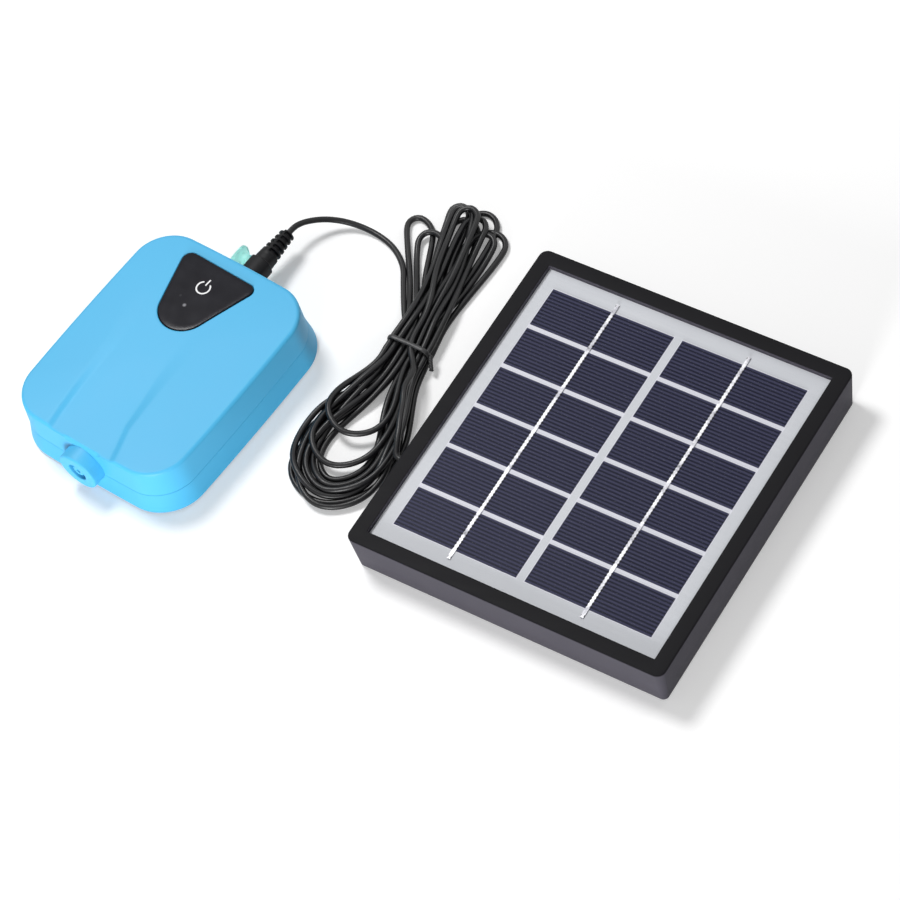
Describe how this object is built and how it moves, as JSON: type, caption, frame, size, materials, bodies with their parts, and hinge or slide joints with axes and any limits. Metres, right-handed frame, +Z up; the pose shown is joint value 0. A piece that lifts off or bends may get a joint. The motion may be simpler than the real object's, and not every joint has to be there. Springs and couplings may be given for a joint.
{
  "type": "solar air pump",
  "caption": "Flat rounded air pump with a press key and round air outlet, fed through a bundled cord by a framed solar panel.",
  "frame": {"origin": "centre of the pump housing's underside; the ground is z = 0, which the rubber feet reach", "axes": "+Z up; the air outlet points along -Y; +X points from the pump to the solar panel"},
  "size_m": [0.2807, 0.1804, 0.0243],
  "materials": {
    "blue_case": "satin moulded plastic",
    "black_key": "smoked gloss",
    "black_rubber": "matt",
    "black_cord": "soft satin sheath",
    "clear_silicone": "frosted silicone",
    "zinc_steel": "plated",
    "brass": "turned",
    "copper": "enamelled wire",
    "ferrite": "ground",
    "white_nylon": "natural",
    "green_board": "solder mask",
    "battery_wrap": "shrink wrap",
    "red_wire": "wire sheath",
    "felt": "pressed felt",
    "black_frame": "fine moulded grain",
    "white_backing": "smooth",
    "navy_cell": "silicon cell with fine fingers",
    "tin_ribbon": "tinned",
    "clear_cover": "clear"
  },
  "bodies": {
    "root": {"upper_shell": "blue_case", "lower_shell": "blue_case", "shell_gasket": "black_rubber", "housing_screws": "zinc_steel", "rubber_feet": "black_rubber", "tact_switch": "black_key", "status_leds": "white_nylon", "circuit_board": "green_board", "board_parts": "black_key", "board_screws": "zinc_steel", "dc_jack": "black_rubber", "jack_pin": "brass", "flap_anchor": "clear_silicone", "outlet_collar": "blue_case", "joiner_tube": "white_nylon", "head_cover": "black_frame", "valve_disc": "black_rubber", "valve_plate": "white_nylon", "diaphragm": "black_rubber", "head_screws": "zinc_steel", "pump_bracket": "zinc_steel", "bracket_screws": "zinc_steel", "motor_can": "zinc_steel", "motor_end_cap": "white_nylon", "motor_magnets": "ferrite", "motor_strap": "zinc_steel", "motor_leads": "red_wire", "inlet_filter": "felt", "battery_cell": "battery_wrap", "battery_tabs": "zinc_steel", "battery_leads": "red_wire", "panel_frame": "black_frame", "panel_back": "black_frame", "panel_screws": "zinc_steel", "backing_sheet": "white_backing", "solar_cells": "navy_cell", "bus_ribbons": "tin_ribbon", "cover_sheet": "clear_cover", "junction_block": "black_frame", "panel_leads": "red_wire", "cord_gland": "black_rubber", "panel_cord_run": "black_cord", "cord_hank": "black_cord", "hank_tie": "black_rubber", "plug_cord_run": "black_cord", "plug_relief": "black_rubber", "dc_plug": "black_rubber", "plug_barrel": "zinc_steel"},
    "key": {"power_key": "black_key", "switch_stem": "white_nylon"},
    "flap": {"dust_flap": "clear_silicone"},
    "crank": {"motor_shaft": "zinc_steel", "motor_rotor": "copper", "eccentric_wheel": "brass"},
    "rod": {"rod_bearing": "zinc_steel", "connecting_rod": "white_nylon"}
  },
  "joints": [
    {"name": "key_press", "type": "slide", "parent": "root", "child": "key", "axis": [0, 0, -1], "range_m": [0, 0.0005], "stiffness_N_per_m": 600, "springref_m": -0.001},
    {"name": "flap_swing", "type": "hinge", "parent": "root", "child": "flap", "pos_m": [-0.0096, 0.05024, 0.0101], "axis": [0, 0, 1], "range_deg": [-5, 75]},
    {"name": "crank_spin", "type": "hinge", "parent": "root", "child": "crank", "pos_m": [0.004, -0.012, 0.0125], "axis": [1, 0, 0], "continuous": true},
    {"name": "rod_swing", "type": "hinge", "parent": "crank", "child": "rod", "pos_m": [0, -0.0132, 0.0125], "axis": [1, 0, 0], "continuous": true}
  ],
  "couplings": [
    {"joint": "rod_swing", "follows": "crank_spin", "ratio": -1}
  ]
}
